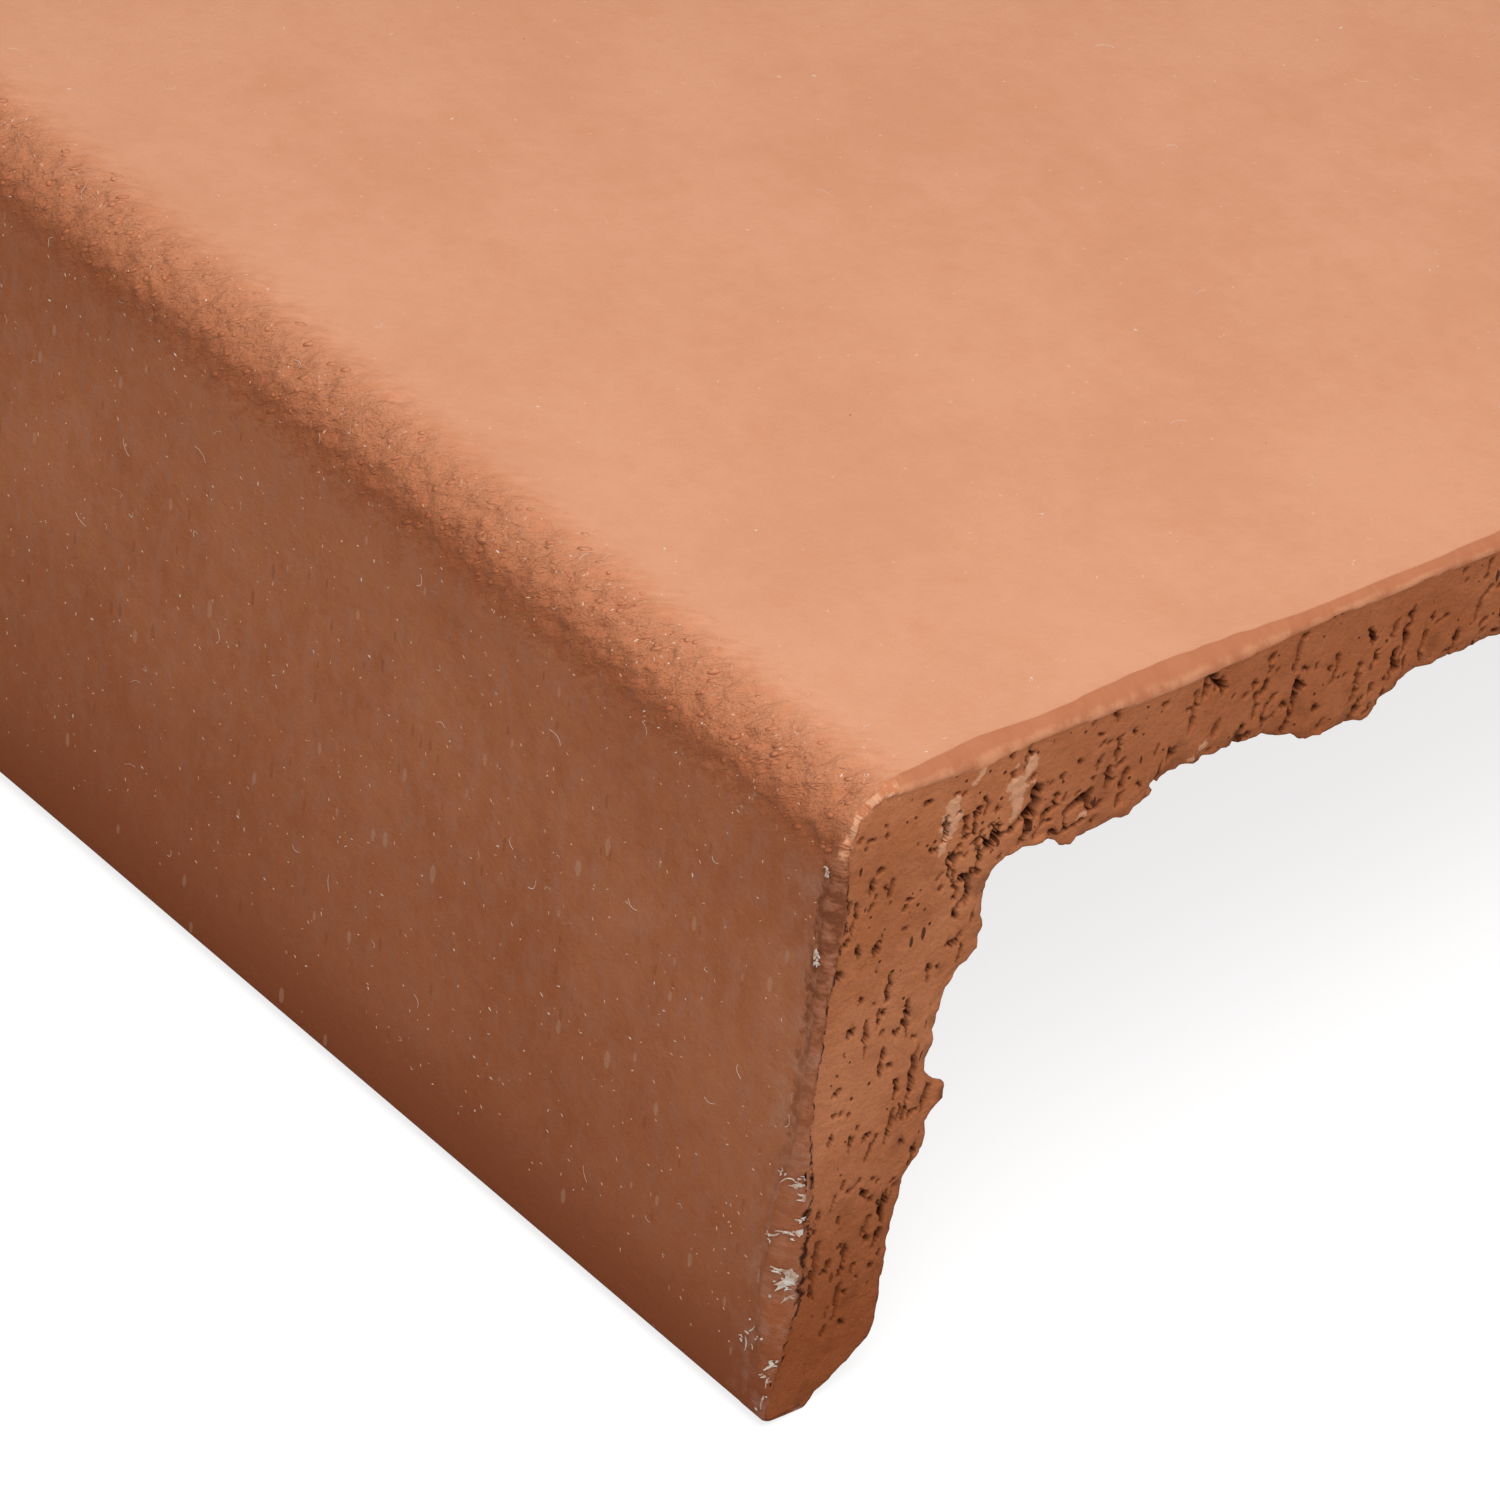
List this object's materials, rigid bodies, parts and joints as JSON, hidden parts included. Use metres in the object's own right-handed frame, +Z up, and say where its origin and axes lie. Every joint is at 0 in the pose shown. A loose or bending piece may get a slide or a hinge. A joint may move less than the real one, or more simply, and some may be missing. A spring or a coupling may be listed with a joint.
{
  "type": "stair tread tile",
  "caption": "L-shaped unglazed terracotta stair tread tile: flat top, rounded nose, drop leg at the front, ribbed underside.",
  "frame": {"origin": "middle of the bounding box at the level of the ground that the loose tile lies on", "axes": "+X runs along the nose to the right-hand cut end, seen from the front; +Y from the nose back to the back edge; +Z up. The tile lies leg down on its foot and its back edge, so its top slopes down to the back by 6.86 degrees."},
  "size_m": [0.3, 0.3334, 0.0495],
  "materials": {
    "fired_clay": "matte"
  },
  "bodies": {
    "root": {"stair_tread_tile": "fired_clay"}
  },
  "joints": []
}
